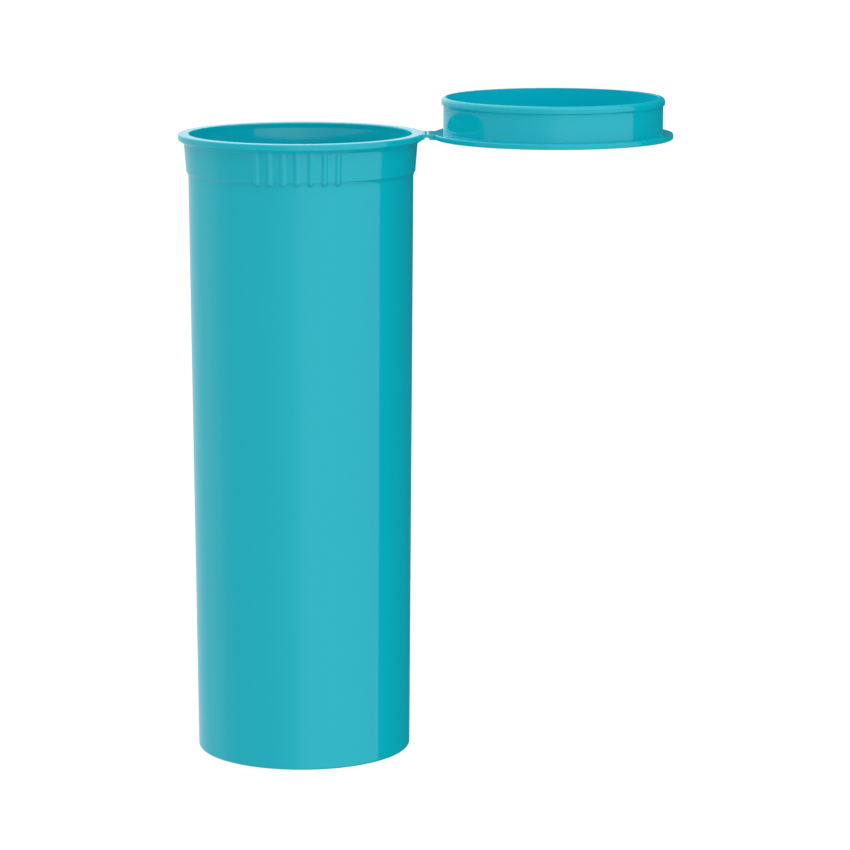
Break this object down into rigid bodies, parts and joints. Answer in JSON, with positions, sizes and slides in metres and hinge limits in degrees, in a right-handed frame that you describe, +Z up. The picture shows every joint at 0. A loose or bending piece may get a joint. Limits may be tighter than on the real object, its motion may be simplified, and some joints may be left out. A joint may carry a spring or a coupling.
{
  "type": "prescription vial",
  "caption": "Tall squeeze-mouth prescription vial with its round plug lid laid open on a living-hinge strap.",
  "frame": {"origin": "on the vial's axis, at the plane its foot ring stands on", "axes": "+Z up along the vial's axis, out of the mouth; +X from the vial's axis toward the hinge strap and the open lid; the squeeze ribs are at -Y and +Y"},
  "size_m": [0.1089, 0.054, 0.1463],
  "materials": {
    "vial_plastic": "glossy as-moulded polypropylene, opaque teal",
    "lid_plastic": "glossy as-moulded polypropylene, opaque teal",
    "strap_plastic": "glossy as-moulded polypropylene, opaque teal, satin where it is thinnest"
  },
  "bodies": {
    "vial": {"base_disc": "vial_plastic", "tube_wall": "vial_plastic", "mouth_collar": "vial_plastic", "rim_lip": "vial_plastic", "squeeze_ribs_front": "vial_plastic", "squeeze_ribs_rear": "vial_plastic", "hinge_root_tab": "strap_plastic", "hinge_web": "strap_plastic"},
    "lid": {"hinge_lid_tab": "strap_plastic", "lid_plate": "lid_plastic", "plug_skirt": "lid_plastic", "seal_bead": "lid_plastic"}
  },
  "joints": [
    {"name": "lid_hinge", "type": "hinge", "parent": "vial", "child": "lid", "pos_m": [0.02776, 0, 0.13845], "axis": [0, -1, 0], "range_deg": [0, 180]}
  ]
}
